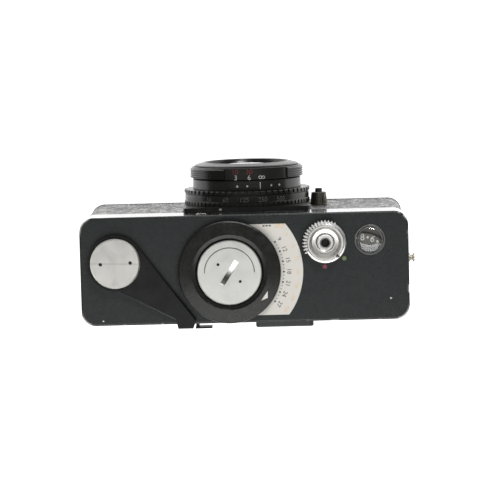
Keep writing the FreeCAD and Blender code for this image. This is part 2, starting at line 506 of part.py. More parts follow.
# ---------------------------------------------------------------- rewind release slide
slide = Piece("rewind_release_slide")
slide.pad("XZ", half_d + 1.45, half_d + 2.15, lambda s: s.rrect(12.0, 18.0, 57.4, 62.0, 0.5))
slide.pad("XZ", half_d - 2.2, half_d + 1.6, lambda s: s.rect(16.6, 17.8, 58.6, 60.9))
slide.pad("XZ", half_d - 2.5, half_d - 1.5, lambda s: s.rect(11.8, 21.0, 56.9, 62.6))

# ---------------------------------------------------------------- rewind at the base
rew = Piece("rewind_disc", D.cartridge_x, D.chamber_y, 0)
rew.turn("Z", [(0, 0.35), (D.rewind_radius, 0.35), (D.rewind_radius, 2.2), (0, 2.2)])
rew.cut("XY", 0, 1.55, lambda s: s.rrect(-6.6, 6.2, -2.0, 2.0, 1.9))
note = rew.cut("XY", -1, 3, lambda s: s.poly([(7.72, -0.35), (9.0, -0.6), (9.0, 0.6), (7.72, 0.35)]))
rew.polar(note, "Z", 30)
fork = Piece("rewind_fork", D.cartridge_x, D.chamber_y, 0)
fork.turn("Z", [(0, 2.25), (2.5, 2.25), (2.5, 6.6), (0, 6.6)])
fork.cut("XY", 4.8, 7, lambda s: s.rect(-0.7, 0.7, -4, 4))
crank = Piece("rewind_crank", D.cartridge_x, D.chamber_y, 0)
crank.pad("XY", 0.2, 1.0, lambda s: s.rrect(-5.5, 5.5, -1.35, 1.35, 0.9))
crank.pad("XZ", -1.55, 1.55, lambda s: s.circle(-5.0, 0.95, 0.5))

# ---------------------------------------------------------------- lens and shutter
y0 = front
board = Piece("lens_board")
board.pad("XZ", y0 - D.board_thick, y0 + 0.98, lambda s: s.rrect(D.lens_x - D.board_half, D.lens_x + D.board_half, D.board_low, skirt_low - 0.05, 1.6))
board.pad("XZ", y0 - D.board_thick, y0 - 0.02, lambda s: s.rrect(D.lens_x - D.board_half, D.lens_x + D.board_half, 30, D.board_top, 1.6))
board.cut("XZ", y0 - 3, y0 + 3, lambda s: s.circle(D.lens_x, D.lens_z, D.barrel_radius + 0.02))
case = Piece("shutter_case", D.lens_x, D.lens_y, D.lens_z)
case.turn("Y", [(D.barrel_radius - 1.2, -17.72), (D.case_radius, -17.72), (D.case_radius, -8.2), (7.2, -8.2), (7.2, -9.0), (19.4, -9.0), (19.4, -16.9), (D.barrel_radius - 1.2, -16.9)])
barrel = Piece("lens_barrel", D.lens_x, D.lens_y, D.lens_z)
barrel.turn("Y", [(D.aperture_radius + 0.6, -17.8), (D.barrel_radius, -17.8), (D.barrel_radius, -33.7), (D.barrel_bore, -33.7), (D.barrel_bore, -19.6), (D.aperture_radius + 0.6, -19.6)])
dof = Piece("dof_scale_ring", D.lens_x, D.lens_y, D.lens_z)
dof.turn("Y", [(D.barrel_radius + 0.01, -25.9), (D.dof_radius, -25.9), (D.dof_radius, -29.3), (D.dof_radius - 0.25, -29.55), (D.barrel_radius + 0.01, -29.55)])
aper = Piece("aperture_ring", D.lens_x, D.lens_y, D.lens_z)
bore = D.barrel_radius + D.running_gap
aper.turn("Y", [(bore, -20.5), (D.ring_radius, -20.5), (D.ring_radius, -21.55), (D.ring_radius - 0.2, -21.75), (bore, -21.75)])
nick = aper.cut("XZ", -22.2, -20.3, lambda s: s.poly([(D.ring_radius - 0.32, -0.3), (D.ring_radius + 1, -0.75), (D.ring_radius + 1, 0.75), (D.ring_radius - 0.32, 0.3)]))
aper.polar(nick, "Y", 72)
speed = Piece("speed_ring", D.lens_x, D.lens_y, D.lens_z)
speed.turn("Y", [(bore, -21.85), (D.ring_radius - 0.15, -21.85), (D.ring_radius - 0.3, -22.0), (D.ring_radius - 0.3, -24.2), (D.ring_radius - 0.7, -24.35),
                 (D.ring_radius - 0.7, -24.5), (D.ring_radius, -24.65), (D.ring_radius, -25.6), (D.ring_radius - 0.2, -25.8), (bore, -25.8)])
nick = speed.cut("XZ", -26.2, -24.45, lambda s: s.poly([(D.ring_radius - 0.5, -0.3), (D.ring_radius + 1, -0.95), (D.ring_radius + 1, 0.95), (D.ring_radius - 0.5, 0.3)]))
speed.polar(nick, "Y", 60)
focus = Piece("focus_ring", D.lens_x, D.lens_y, D.lens_z, -102.5, (0, 1, 0))
fr = D.focus_radius
pts = [(bore, -29.65), (fr - 0.9, -29.65), (fr - 0.7, -29.8)]
y = -29.95
while y > -33.6:
    pts += [(fr - 0.4, y), (fr, y - 0.12), (fr, y - 0.38), (fr - 0.4, y - 0.5)]
    y -= 0.74
pts += [(fr - 0.7, -33.8), (fr - 0.95, -34.0), (bore, -34.0)]
focus.turn("Y", pts)
focus.groove("Y", [(fr - 0.72, -29.6), (fr + 1, -29.6), (fr + 1, -34.1), (fr - 0.72, -34.1)], 70.0, middle=True)
fcell = Piece("front_cell", D.lens_x, D.lens_y, D.lens_z)
fcell.turn("Y", [(13.9, -26.0), (D.barrel_bore - 0.06, -26.0), (D.barrel_bore - 0.06, -34.1), (18.9, -34.1), (19.0, -34.25), (18.6, -34.6), (15.9, -35.35),
                 (15.5, -35.4), (15.1, -35.2), (14.75, -34.6), (14.35, -33.6), (13.9, -33.6)])
fglass = Piece("front_element", D.lens_x, D.lens_y, D.lens_z)
fglass.turn("Y", [(0, -29.6), (13.85, -29.9), (13.85, -33.5), (13.0, -33.62), (11.0, -33.98), (9.0, -34.26), (7.0, -34.48), (5.0, -34.64), (3.0, -34.74), (0, -34.8)])
rglass = Piece("rear_element", D.lens_x, D.lens_y, D.lens_z)
rglass.turn("Y", [(0, -9.6), (7.15, -9.0), (7.15, -6.2), (5.0, -5.75), (3.0, -5.5), (0, -5.4)])

# leaf shutter: three blades on pins, in three planes, and the ring that drives them
for i in range(3):
    low = -12.4 + 0.3 * i
    blade = Piece("shutter_blade_%d" % (i + 1), D.lens_x, D.lens_y, D.lens_z, 120.0 * i, (0, 1, 0))
    blade.pad("XZ", low, low + 0.15, lambda s: s.poly([(-6.4, 2.0), (0, -1.3), (6.4, 2.0), (6.2, 4.2), (1.5, 10.6), (-1.5, 10.6), (-6.2, 4.2)]))
    blade.pad("XZ", low, low + 0.15, lambda s: s.circle(0, 11.5, 1.7))
    blade.cut("XZ", low - 1, low + 1, lambda s: s.circle(0, 11.5, 0.55))
plate = Piece("shutter_plate", D.lens_x, D.lens_y, D.lens_z)
plate.turn("Y", [(D.aperture_radius, -13.6), (19.35, -13.6), (19.35, -12.8), (D.aperture_radius, -12.8)])
post = plate.pad("XZ", -12.9, -9.05, lambda s: s.circle(0, 11.5, 0.5))
plate.polar(post, "Y", 3)
drive = Piece("shutter_drive_ring", D.lens_x, D.lens_y, D.lens_z)
drive.turn("Y", [(15.6, -11.2), (19.3, -11.2), (19.3, -10.4), (15.6, -10.4)])
for label, side in (("iris_leaf_left", 1), ("iris_leaf_right", -1)):
    low = -14.2 if side > 0 else -14.6
    leaf = Piece(label, D.lens_x, D.lens_y, D.lens_z, 0 if side > 0 else 180, (0, 1, 0))
    leaf.pad("XZ", low, low + 0.2, lambda s: s.poly([(6.2, -6.8), (6.2, 6.8), (9.0, 11.5), (12.0, 11.5), (13.6, 6.0), (13.6, -6.8)]))
    leaf.cut("XZ", low - 1, low + 1, lambda s: s.circle(11.0, 10.0, 0.55))

# front push button in its knurled collar
fbc = Piece("front_button_collar", D.front_button_x, 0, D.front_button_z)
fbc.turn("Y", [(1.34, -16.0), (1.85, -16.0), (1.85, -18.5), (1.85, y0), (3.1, y0 - 0.0), (3.1, y0 - 0.6), (2.65, y0 - 4.4), (2.4, y0 - 4.5), (1.34, y0 - 4.5)])
nick = fbc.cut("XZ", y0 - 5, y0 - 0.6, lambda s: s.poly([(2.58, -0.12), (3.5, -0.42), (3.5, 0.42), (2.58, 0.12)]))
fbc.polar(nick, "Y", 22)
fb = Piece("front_button", D.front_button_x, 0, D.front_button_z)
fb.turn("Y", [(0, -14.9), (1.27, -14.9), (1.27, y0 - 5.7), (1.07, y0 - 5.9), (0, y0 - 5.9)])

# ---------------------------------------------------------------- rear door
door = Piece("rear_door")
zl, zh = D.base_skirt + 0.3, skirt_low - 0.3
door.pad("XY", zl, zh, lambda s: s.rrect(-skin_x, 60.0, 0, half_d - 0.8, D.corner_radius - 0.4))
door.cut("XY", zl - 1, zh + 1, lambda s: s.rect(-70, 70, -2, 14.0))
door.cut("XY", zl - 1, zh + 1, lambda s: s.rect(53.6, 70, 10, 20))
door.cut("XY", zl + 1.1, zh - 1.1, lambda s: s.rrect(-skin_x + 1.1, 70, 5, half_d - 2.3, 3.2))
door.cut("XY", zl - 1, zh + 1, lambda s: s.rect(50.7, 70, 10, half_d - 2.3))
door.pad("XY", 10.2, 44.8, lambda s: s.circle(D.hinge_x, D.hinge_y, D.knuckle_radius))
door.pad("XY", 10.2, 44.8, lambda s: s.rect(53.2, D.hinge_x, half_d - 2.3, half_d - 1.05))
door.cut("XY", 10, 45, lambda s: s.circle(D.hinge_x, D.hinge_y, D.hinge_pin_radius + 0.05))
dskin = Piece("door_leatherette")
dskin.pad("XZ", half_d - 0.78, half_d - 0.02, lambda s: s.rrect(-54.1, 52.3, zl + 0.6, zh - 0.6, 2.0))
latch = Piece("door_latch")
latch.pad("YZ", -skin_x - 0.5, -cx - 0.1, lambda s: s.rrect(7.2, 12.6, 21.2, 35.2, 0.8))
rib = [(0, 0)]
for k in range(5):
    latch.pad("YZ", -skin_x - 1.0, -skin_x - 0.4, lambda s, k=k: s.rect(7.8, 12.0, 23.4 + 2.3 * k, 24.4 + 2.3 * k))
pplate = Piece("pressure_plate")
pplate.pad("XZ", 13.3, 14.1, lambda s: s.rrect(D.lens_x - 21, D.lens_x + 12, 12.6, 45.4, 1.5))
pspring = Piece("plate_spring")
pspring.pad("YZ", D.lens_x - 18, D.lens_x + 9, lambda s: s.poly([(16.9, 22.0), (16.6, 22.0), (15.35, 27.0), (15.35, 31.0), (16.6, 36.0), (16.9, 36.0), (15.65, 31.0), (15.65, 27.0)]))

# ---------------------------------------------------------------- check and write
doc.recompute()
bad = [o.Name for o in doc.Objects if "Invalid" in o.State or "Error" in o.State]
for obj in PIECES:
    if obj.Shape.isNull() or not obj.Shape.isValid() or not obj.Shape.Solids:
        bad.append(obj.Label)
if bad:
    raise SystemExit("not built: " + ", ".join(bad))
os.makedirs("parts", exist_ok=True)
for obj in PIECES:
    obj.Shape.exportStep("parts/%s.step" % obj.Label)
    print("%-24s %8.1f mm3  %d solid(s)" % (obj.Label, obj.Shape.Volume, len(obj.Shape.Solids)))
print(len(PIECES), "pieces")
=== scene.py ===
import bpy
import bmesh
import math
import random
import numpy as np
from mathutils import Matrix, Vector


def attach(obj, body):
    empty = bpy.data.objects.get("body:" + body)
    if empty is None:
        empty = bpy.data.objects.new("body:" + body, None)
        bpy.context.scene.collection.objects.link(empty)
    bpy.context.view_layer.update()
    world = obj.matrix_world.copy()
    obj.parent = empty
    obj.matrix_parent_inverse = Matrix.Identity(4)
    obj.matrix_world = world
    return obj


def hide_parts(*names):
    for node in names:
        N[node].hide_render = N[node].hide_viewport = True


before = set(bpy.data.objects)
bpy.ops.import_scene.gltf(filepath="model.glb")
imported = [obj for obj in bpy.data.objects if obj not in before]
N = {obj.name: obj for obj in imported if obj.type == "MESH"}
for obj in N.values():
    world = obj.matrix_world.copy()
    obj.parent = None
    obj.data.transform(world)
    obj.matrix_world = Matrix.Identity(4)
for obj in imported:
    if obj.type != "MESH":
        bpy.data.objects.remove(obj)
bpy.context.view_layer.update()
random.seed(7)
MM = 0.001
scene = bpy.context.scene
scene.view_settings.view_transform = "Standard"


# ------------------------------------------------------------------ node helpers
class Mat:
    def __init__(self, name):
        self.m = bpy.data.materials.new(name)
        self.m.use_nodes = True
        self.t = self.m.node_tree
        self.n = self.t.nodes
        self.bsdf = next(x for x in self.n if x.type == "BSDF_PRINCIPLED")
        self.out = next(x for x in self.n if x.type == "OUTPUT_MATERIAL")
        self.tc = self.n.new("ShaderNodeTexCoord")

    def link(self, a, b):
        self.t.links.new(a, b)

    def set(self, **k):
        names = {"color": "Base Color", "metal": "Metallic", "rough": "Roughness", "spec": "Specular IOR Level",
                 "coat": "Coat Weight", "coat_rough": "Coat Roughness", "ior": "IOR", "aniso": "Anisotropic",
                 "trans": "Transmission Weight", "alpha": "Alpha", "emit": "Emission Strength", "emit_color": "Emission Color",
                 "sheen": "Sheen Weight", "sheen_rough": "Sheen Roughness"}
        for key, v in k.items():
            s = self.bsdf.inputs[names[key]]
            if isinstance(v, (tuple, list)) and len(v) == 3:
                v = (*v, 1.0)
            s.default_value = v
        return self

    def noise(self, scale, detail=3.0, rough=0.5, coord=None, distortion=0.0):
        x = self.n.new("ShaderNodeTexNoise")
        x.inputs["Scale"].default_value = scale
        x.inputs["Detail"].default_value = detail
        x.inputs["Roughness"].default_value = rough
        x.inputs["Distortion"].default_value = distortion
        self.link(coord or self.tc.outputs["Object"], x.inputs["Vector"])
        return x.outputs["Fac"]

    def voronoi(self, scale, feature="F1", coord=None, out="Distance"):
        x = self.n.new("ShaderNodeTexVoronoi")
        x.feature = feature
        x.inputs["Scale"].default_value = scale
        self.link(coord or self.tc.outputs["Object"], x.inputs["Vector"])
        return x.outputs[out]

    def ramp(self, fac, stops):
        x = self.n.new("ShaderNodeValToRGB")
        while len(x.color_ramp.elements) < len(stops):
            x.color_ramp.elements.new(0.5)
        for e, (p, c) in zip(x.color_ramp.elements, stops):
            e.position = p
            e.color = (*c, 1.0) if isinstance(c, (tuple, list)) else (c, c, c, 1.0)
        self.link(fac, x.inputs["Fac"])
        return x.outputs["Color"]

    def math(self, op, a, b=None, clamp=False):
        x = self.n.new("ShaderNodeMath")
        x.operation = op
        x.use_clamp = clamp
        for i, v in enumerate((a, b)):
            if v is None:
                continue
            if isinstance(v, (int, float)):
                x.inputs[i].default_value = v
            else:
                self.link(v, x.inputs[i])
        return x.outputs[0]

    def mix(self, fac, a, b):
        x = self.n.new("ShaderNodeMix")
        x.data_type = "RGBA"
        for s, v in ((x.inputs[0], fac), (x.inputs[6], a), (x.inputs[7], b)):
            if isinstance(v, (tuple, list)):
                s.default_value = (*v, 1.0) if len(v) == 3 else v
            elif isinstance(v, (int, float)):
                s.default_value = v
            else:
                self.link(v, s)
        return x.outputs[2]

    def map_range(self, v, a, b, c=0.0, d=1.0, smooth=True):
        x = self.n.new("ShaderNodeMapRange")
        x.interpolation_type = "SMOOTHSTEP" if smooth else "LINEAR"
        self.link(v, x.inputs["Value"])
        for i, val in zip((1, 2, 3, 4), (a, b, c, d)):
            x.inputs[i].default_value = val
        return x.outputs["Result"]

    def xyz(self, offset=(0, 0, 0)):
        """Object coordinates less an offset, as separate X, Y, Z sockets and the vector."""
        sub = self.n.new("ShaderNodeVectorMath")
        sub.operation = "SUBTRACT"
        self.link(self.tc.outputs["Object"], sub.inputs[0])
        sub.inputs[1].default_value = offset
        sep = self.n.new("ShaderNodeSeparateXYZ")
        self.link(sub.outputs[0], sep.inputs[0])
        return sep.outputs[0], sep.outputs[1], sep.outputs[2], sub.outputs[0]

    def bump(self, height, strength, distance, normal=None):
        x = self.n.new("ShaderNodeBump")
        x.inputs["Strength"].default_value = strength
        x.inputs["Distance"].default_value = distance
        self.link(height, x.inputs["Height"])
        if normal:
            self.link(normal, x.inputs["Normal"])
        return x.outputs["Normal"]

    def to(self, socket, name):
        self.link(socket, self.bsdf.inputs[name])
        return self


def paint(obj, mat):
    obj.data.materials.clear()
    obj.data.materials.append(mat.m if isinstance(mat, Mat) else mat)


# ------------------------------------------------------------------ materials
def enamel(name, wear=1.0):
    """Satin black baked enamel, a little blue-green, with faint orange peel, dust and worn corners."""
    m = Mat(name).set(rough=0.34, spec=0.34, coat_rough=0.06)
    glance = m.n.new("ShaderNodeLayerWeight")
    glance.inputs["Blend"].default_value = 0.5
    m.to(m.map_range(glance.outputs["Facing"], 0.72, 0.95), "Coat Weight")
    big = m.noise(38, 4, 0.55)
    fine = m.noise(900, 3, 0.6)
    base = m.mix(m.map_range(big, 0.2, 0.8), (0.0108, 0.0138, 0.0134), (0.0128, 0.0158, 0.0153))
    x, y, z, _ = m.xyz()
    ax, ay = m.math("ABSOLUTE", x), m.math("ABSOLUTE", y)
    # distance from the nearest vertical corner's centre line, in metres; 5 mm is the corner's own radius
    dx = m.math("MAXIMUM", m.math("SUBTRACT", ax, 0.0532), 0.0)
    dy = m.math("MAXIMUM", m.math("SUBTRACT", ay, 0.01425), 0.0)
    r = m.math("SQRT", m.math("ADD", m.math("MULTIPLY", dx, dx), m.math("MULTIPLY", dy, dy)))
    edge = m.map_range(r, 0.00415, 0.0050)                       # the rounded edge line
    corner = m.math("MULTIPLY", m.map_range(dx, 0.0008, 0.0026), m.map_range(dy, 0.0008, 0.0026))
    top = m.math("MAXIMUM", m.map_range(z, 0.06475, 0.0656), m.map_range(z, 0.0010, 0.0003))
    n1 = m.noise(260, 6, 0.65)
    n2 = m.noise(1500, 4, 0.6)
    patch = m.map_range(m.math("ADD", m.math("MULTIPLY", n1, 0.75), m.math("MULTIPLY", n2, 0.25)), 0.46, 0.53)
    line = m.map_range(m.noise(150, 5, 0.7), 0.60, 0.66)
    w = m.math("MULTIPLY", edge, top)
    w = m.math("MULTIPLY", w, m.math("MAXIMUM", m.math("MULTIPLY", corner, patch), m.math("MULTIPLY", line, 0.55)))
    # two small chips on the top plate
    for cx, cy, rad in ((-0.0515, 0.0117, 0.00042), (0.0505, 0.0176, 0.00026)):
        d = m.n.new("ShaderNodeVectorMath")
        d.operation = "DISTANCE"
        m.link(m.tc.outputs["Object"], d.inputs[0])
        d.inputs[1].default_value = (cx, cy, 0.066)
        dd = m.math("ADD", d.outputs["Value"], m.math("MULTIPLY", m.math("SUBTRACT", n2, 0.5), 0.0009))
        w = m.math("MAXIMUM", w, m.map_range(dd, rad, rad * 0.55))
    # the rounded corners where a hand or a case has rubbed through to the metal
    for cx, cy, rad in ((-0.0567, 0.0178, 0.0040), (0.0569, 0.0176, 0.0030), (0.0576, -0.0160, 0.0032), (-0.0581, 0.0085, 0.0016)):
        d = m.n.new("ShaderNodeVectorMath")
        d.operation = "DISTANCE"
        m.link(m.tc.outputs["Object"], d.inputs[0])
        d.inputs[1].default_value = (cx, cy, 0.0656)
        dd = m.math("ADD", d.outputs["Value"], m.math("MULTIPLY", m.math("SUBTRACT", n2, 0.5), 0.0060))
        spot = m.math("MULTIPLY", m.map_range(dd, rad, rad * 0.5), m.map_range(r, 0.00415, 0.00475))
        w = m.math("MAXIMUM", w, m.math("MULTIPLY", m.math("MULTIPLY", spot, m.map_range(z, 0.0630, 0.0645)), 0.7))
    w = m.math("MULTIPLY", w, wear, clamp=True)
    col = m.mix(w, base, (0.72, 0.70, 0.66))
    m.to(col, "Base Color")
    m.to(m.math("MULTIPLY", w, 0.9), "Metallic")
    dust = m.map_range(m.noise(420, 6, 0.75), 0.42, 0.72)
    m.to(m.math("ADD", m.math("MULTIPLY", dust, 0.05), 0.27), "Roughness")
    h = m.math("ADD", m.math("MULTIPLY", fine, 0.4), m.math("MULTIPLY", w, -1.0))
    m.to(m.bump(h, 0.10, 0.00005), "Normal")
    return m


def anodised(name, tint=(0.009, 0.009, 0.008), rough=0.33, centre=None, axis="Z", pitch=0.00011, depth=0.00001, metal=0.0):
    """Black anodised or lacquered turned part: fine lathe rings about an axis, and a slightly rubbed look."""
    m = Mat(name).set(rough=rough, spec=0.38)
    big = m.noise(120, 4, 0.6)
    base = m.mix(m.map_range(big, 0.35, 0.7), tint, tuple(c * 1.5 for c in tint))
    m.to(base, "Base Color")
    m.set(metal=metal)
    h = m.noise(1400, 3, 0.6)
    nrm = m.bump(h, 0.12, 0.00004)
    if centre:
        x, y, z, vec = m.xyz(centre)
        a, b = (x, y) if axis == "Z" else (x, z)
        rr = m.math("SQRT", m.math("ADD", m.math("MULTIPLY", a, a), m.math("MULTIPLY", b, b)))
        ring = m.math("SINE", m.math("MULTIPLY", rr, 2 * math.pi / pitch))
        wob = m.noise(500, 2, 0.5)
        nrm = m.bump(m.math("MULTIPLY", ring, wob), 0.6, depth, nrm)
    m.to(nrm, "Normal")
    m.to(m.math("ADD", m.math("MULTIPLY", m.noise(300, 4, 0.6), 0.12), rough - 0.06), "Roughness")
    return m


def turned(name, centre, tint=(0.80, 0.79, 0.765), rough=0.30, aniso=0.72, painted_fan_line=0.0, painted_recess_shade=False):
    """Turned alloy disc: concentric tool marks, with the bright and dark fans they give, and optionally a painted dark
    reflection line and painted shade in its groove and slot.
    """
    m = Mat(name).set(metal=1.0, aniso=aniso)
    x, y, z, vec = m.xyz(centre)
    rr = m.math("SQRT", m.math("ADD", m.math("MULTIPLY", x, x), m.math("MULTIPLY", y, y)))
    comb = m.n.new("ShaderNodeCombineXYZ")
    m.link(m.math("MULTIPLY", rr, 9000.0), comb.inputs[0])
    lines = m.n.new("ShaderNodeTexNoise")
    lines.inputs["Scale"].default_value = 1.0
    lines.inputs["Detail"].default_value = 4.0
    lines.inputs["Roughness"].default_value = 0.7
    m.link(comb.outputs[0], lines.inputs["Vector"])
    stain = m.map_range(m.noise(230, 5, 0.65), 0.3, 0.75)
    col = m.mix(stain, tint, tuple(c * 0.86 for c in tint))
    col = m.mix(m.map_range(lines.outputs["Fac"], 0.3, 0.7), tuple(c * 0.93 for c in tint), col)
    if painted_fan_line:
        # painted reflection: the dark fan of the turned finish, drawn as a fine dark line straight across the disc,
        # through both spanner holes
        off = m.math("ABSOLUTE", m.math("ADD", y, m.math("MULTIPLY", x, 0.035)))
        col = m.mix(m.math("MULTIPLY", m.map_range(off, 0.00055, 0.00005), painted_fan_line), col, tuple(c * 0.25 for c in tint))
    if painted_recess_shade:
        # painted shade: near-black in the engraved half circle and at one end of the coin slot, where these recesses
        # fall in shade
        ring = m.math("MULTIPLY", m.map_range(rr, 0.00855, 0.00868), m.map_range(rr, 0.00912, 0.00899))
        ring = m.math("MULTIPLY", ring, m.map_range(z, 0.07005, 0.06992))
        along = m.math("ADD", m.math("MULTIPLY", x, 0.5417), m.math("MULTIPLY", y, 0.8406))
        inslot = m.math("MULTIPLY", m.map_range(z, 0.07006, 0.06990), m.map_range(rr, 0.0066, 0.0062))
        slot = m.math("MULTIPLY", inslot, m.map_range(along, -0.0012, 0.0024))
        col = m.mix(m.math("MAXIMUM", m.math("MULTIPLY", ring, 0.85), m.math("MULTIPLY", slot, 0.86)), col, (0.030, 0.030, 0.022))
    m.to(col, "Base Color")
    m.to(m.math("ADD", m.math("MULTIPLY", stain, 0.10), rough - 0.03), "Roughness")
    tan = m.n.new("ShaderNodeTangent")
    tan.direction_type = "RADIAL"
    tan.axis = "Z"
    # a tangent about this disc's own axis: (-y, x, 0)
    neg = m.math("MULTIPLY", y, -1.0)
    t = m.n.new("ShaderNodeCombineXYZ")
    m.link(neg, t.inputs[0])
    m.link(x, t.inputs[1])
    nt = m.n.new("ShaderNodeVectorMath")
    nt.operation = "NORMALIZE"
    m.link(t.outputs[0], nt.inputs[0])
    m.link(nt.outputs[0], m.bsdf.inputs["Tangent"])
    m.n.remove(tan)
    m.to(m.bump(lines.outputs["Fac"], 0.5, 0.000012), "Normal")
    return m


def metal(name, tint, rough, bump=0.15, scale=900):
    m = Mat(name).set(metal=1.0)
    n = m.noise(scale, 4, 0.6)
    m.to(m.mix(m.map_range(m.noise(200, 4, 0.6), 0.3, 0.75), tint, tuple(c * 0.82 for c in tint)), "Base Color")
    m.to(m.math("ADD", m.math("MULTIPLY", n, 0.16), rough - 0.06), "Roughness")
    m.to(m.bump(n, bump, 0.00003), "Normal")
    return m


def plastic(name, tint, rough=0.45, scale=1100, bump=0.2):
    m = Mat(name).set(spec=0.45)
    n = m.noise(scale, 3, 0.6)
    m.to(m.mix(m.map_range(m.noise(160, 3, 0.6), 0.35, 0.7), tint, tuple(c * 1.25 for c in tint)), "Base Color")
    m.to(m.math("ADD", m.math("MULTIPLY", n, 0.14), rough - 0.05), "Roughness")
    m.to(m.bump(n, bump, 0.00004), "Normal")
    return m


def leather(name):
    m = Mat(name).set(spec=0.5, coat_rough=0.22)
    glance = m.n.new("ShaderNodeLayerWeight")
    glance.inputs["Blend"].default_value = 0.5
    # pebbles polished by handling, dull creases between them
    worn = m.math("ADD", m.math("MULTIPLY", m.map_range(m.noise(300, 5, 0.72), 0.44, 0.56), 0.80), 0.12)
    m.to(m.math("ADD", m.math("MULTIPLY", m.map_range(glance.outputs["Facing"], 0.55, 0.9), worn), 0.04), "Coat Weight")
    n = m.noise(330, 5, 0.65)
    cells = m.voronoi(1300)
    m.to(m.mix(m.map_range(n, 0.3, 0.7), (0.014, 0.014, 0.013), (0.028, 0.028, 0.027)), "Base Color")
    m.to(m.math("ADD", m.math("MULTIPLY", m.noise(700, 3, 0.6), 0.22), 0.36), "Roughness")
    nrm = m.bump(m.noise(2600, 4, 0.7), 0.35, 0.00005)
    m.to(m.bump(m.map_range(cells, 0.0, 0.45), 0.4, 0.00005, nrm), "Normal")
    return m


def glass(name, tint=(1, 1, 1), rough=0.0, ior=1.5):
    m = Mat(name).set(rough=rough, trans=1.0, ior=ior, color=tint, spec=0.5)
    dust = m.noise(600, 4, 0.7)
    m.to(m.math("ADD", m.math("MULTIPLY", m.map_range(dust, 0.55, 0.85), 0.012), rough), "Roughness")
    return m


def clear_shell(name):
    """A thin clear moulding: it reflects as much as the angle gives and lets the rest straight through."""
    m = Mat(name).set(metal=1.0, color=(0.97, 0.98, 0.98), rough=0.02)
    fr = m.n.new("ShaderNodeFresnel")
    fr.inputs["IOR"].default_value = 1.49
    m.to(fr.outputs["Fac"], "Alpha")
    m.to(m.math("ADD", m.math("MULTIPLY", m.noise(90, 2, 0.5), 0.01), 0.02), "Roughness")
    return m


def coated_glass(name, tint, ior=1.38):
    """Lens glass with a thin violet-amber coating: a coloured, sharp reflection."""
    m = Mat(name).set(trans=1.0, ior=ior, color=tint, spec=0.5)
    lw = m.n.new("ShaderNodeLayerWeight")
    lw.inputs["Blend"].default_value = 0.35
    m.to(m.ramp(lw.outputs["Facing"], [(0.0, (0.55, 0.42, 0.85)), (0.55, (0.35, 0.62, 0.80)), (1.0, (0.95, 0.75, 0.55))]), "Specular Tint")
    m.to(m.math("MULTIPLY", m.map_range(m.noise(500, 4, 0.7), 0.6, 0.9), 0.05), "Roughness")
    return m


def flat_ink(name, tint, rough=0.5, vary=0.7):
    m = Mat(name).set(spec=0.3)
    n = m.noise(1800, 3, 0.7)
    m.to(m.mix(m.map_range(n, 0.35, 0.75), tint, tuple(c * vary for c in tint)), "Base Color")
    m.to(m.math("ADD", m.math("MULTIPLY", n, 0.1), rough - 0.05), "Roughness")
    return m


LX, LZ = -0.001, 0.029
WHEEL = (0.0053, 0.0009, 0.0)
WIND = (0.0455, -0.0032, 0.0)
REL = (-0.0287, -0.0087, 0.0)
CNT = (-0.0445, -0.0092, 0.0)
M = {
    "enamel": enamel("black_enamel"),
    "lever": anodised("lever_enamel", (0.0040, 0.0042, 0.0040), 0.22),
    "wheel": anodised("wheel_black", (0.0034, 0.0034, 0.0025), 0.255, WHEEL, "Z", 0.00012, 0.000012),
    "ring": anodised("ring_black", (0.0055, 0.0056, 0.0046), 0.24, (LX, 0, LZ), "Y", 0.00011, 0.00001),
    "board": anodised("board_black", (0.006, 0.006, 0.0055), 0.32),
    "inner": plastic("inner_black", (0.006, 0.006, 0.006), 0.75),
    "die": plastic("die_cast_black", (0.018, 0.018, 0.017), 0.62, 700, 0.5),
    "bezel": plastic("bezel_black", (0.022, 0.024, 0.022), 0.50),
    "moulded": plastic("moulded_black", (0.016, 0.016, 0.016), 0.42),
    # the hub's last argument is the strength of its painted dark reflection line
    "hub": turned("turned_hub", WIND, (0.585, 0.575, 0.545), 0.33, 0.08, 0.22),
    # the cap's True turns on the painted shade in its groove and coin slot
    "cap": turned("turned_cap", WHEEL, (0.60, 0.603, 0.575), 0.34, 0.06, 0.0, True),
    "rewind": turned("turned_rewind", (-0.0415, 0.0022, 0.0), (0.70, 0.69, 0.67), 0.28, 0.5),
    "chrome": metal("satin_chrome", (0.76, 0.75, 0.73), 0.30),
    "nickel": metal("nickel", (0.72, 0.70, 0.64), 0.24),
    "lug": metal("lug_nickel", (0.36, 0.33, 0.27), 0.40),
    "steel": metal("ground_steel", (0.50, 0.50, 0.49), 0.34),
    "olive": metal("olive_brown_metal", (0.165, 0.155, 0.128), 0.38),
    "leather": leather("leatherette"),
    "scale": flat_ink("ivory_scale", (0.55, 0.53, 0.49), 0.42, 0.95),
    "grey": flat_ink("counter_grey", (0.10, 0.097, 0.09), 0.5, 0.9),
    "backing": flat_ink("counter_backing", (0.115, 0.108, 0.092), 0.6),
    "rim": metal("counter_rim", (0.15, 0.15, 0.145), 0.34),
    "green": flat_ink("green_mark", (0.135, 0.175, 0.085), 0.30),
    "red": flat_ink("red_mark", (0.235, 0.055, 0.085), 0.30),
    "white_ink": flat_ink("white_ink", (0.82, 0.81, 0.77)),
    "pale_ink": flat_ink("pale_ink", (0.56, 0.56, 0.53)),
    "dim_ink": flat_ink("dim_white_ink", (0.34, 0.35, 0.32)),
    "grey_ink": flat_ink("grey_ink", (0.085, 0.088, 0.080)),
    "black_ink": flat_ink("black_ink", (0.045, 0.048, 0.052)),
    "orange_ink": flat_ink("orange_ink", (0.66, 0.50, 0.33)),
    "red_ink": flat_ink("red_ink", (0.10, 0.012, 0.014)),
    "window": glass("window_glass"),
    "dome": clear_shell("dome_clear"),
    "lens": coated_glass("coated_lens_glass", (0.40, 0.42, 0.48)),
    "foam": plastic("light_seal_foam", (0.010, 0.010, 0.010), 0.95, 2500, 0.8),
}

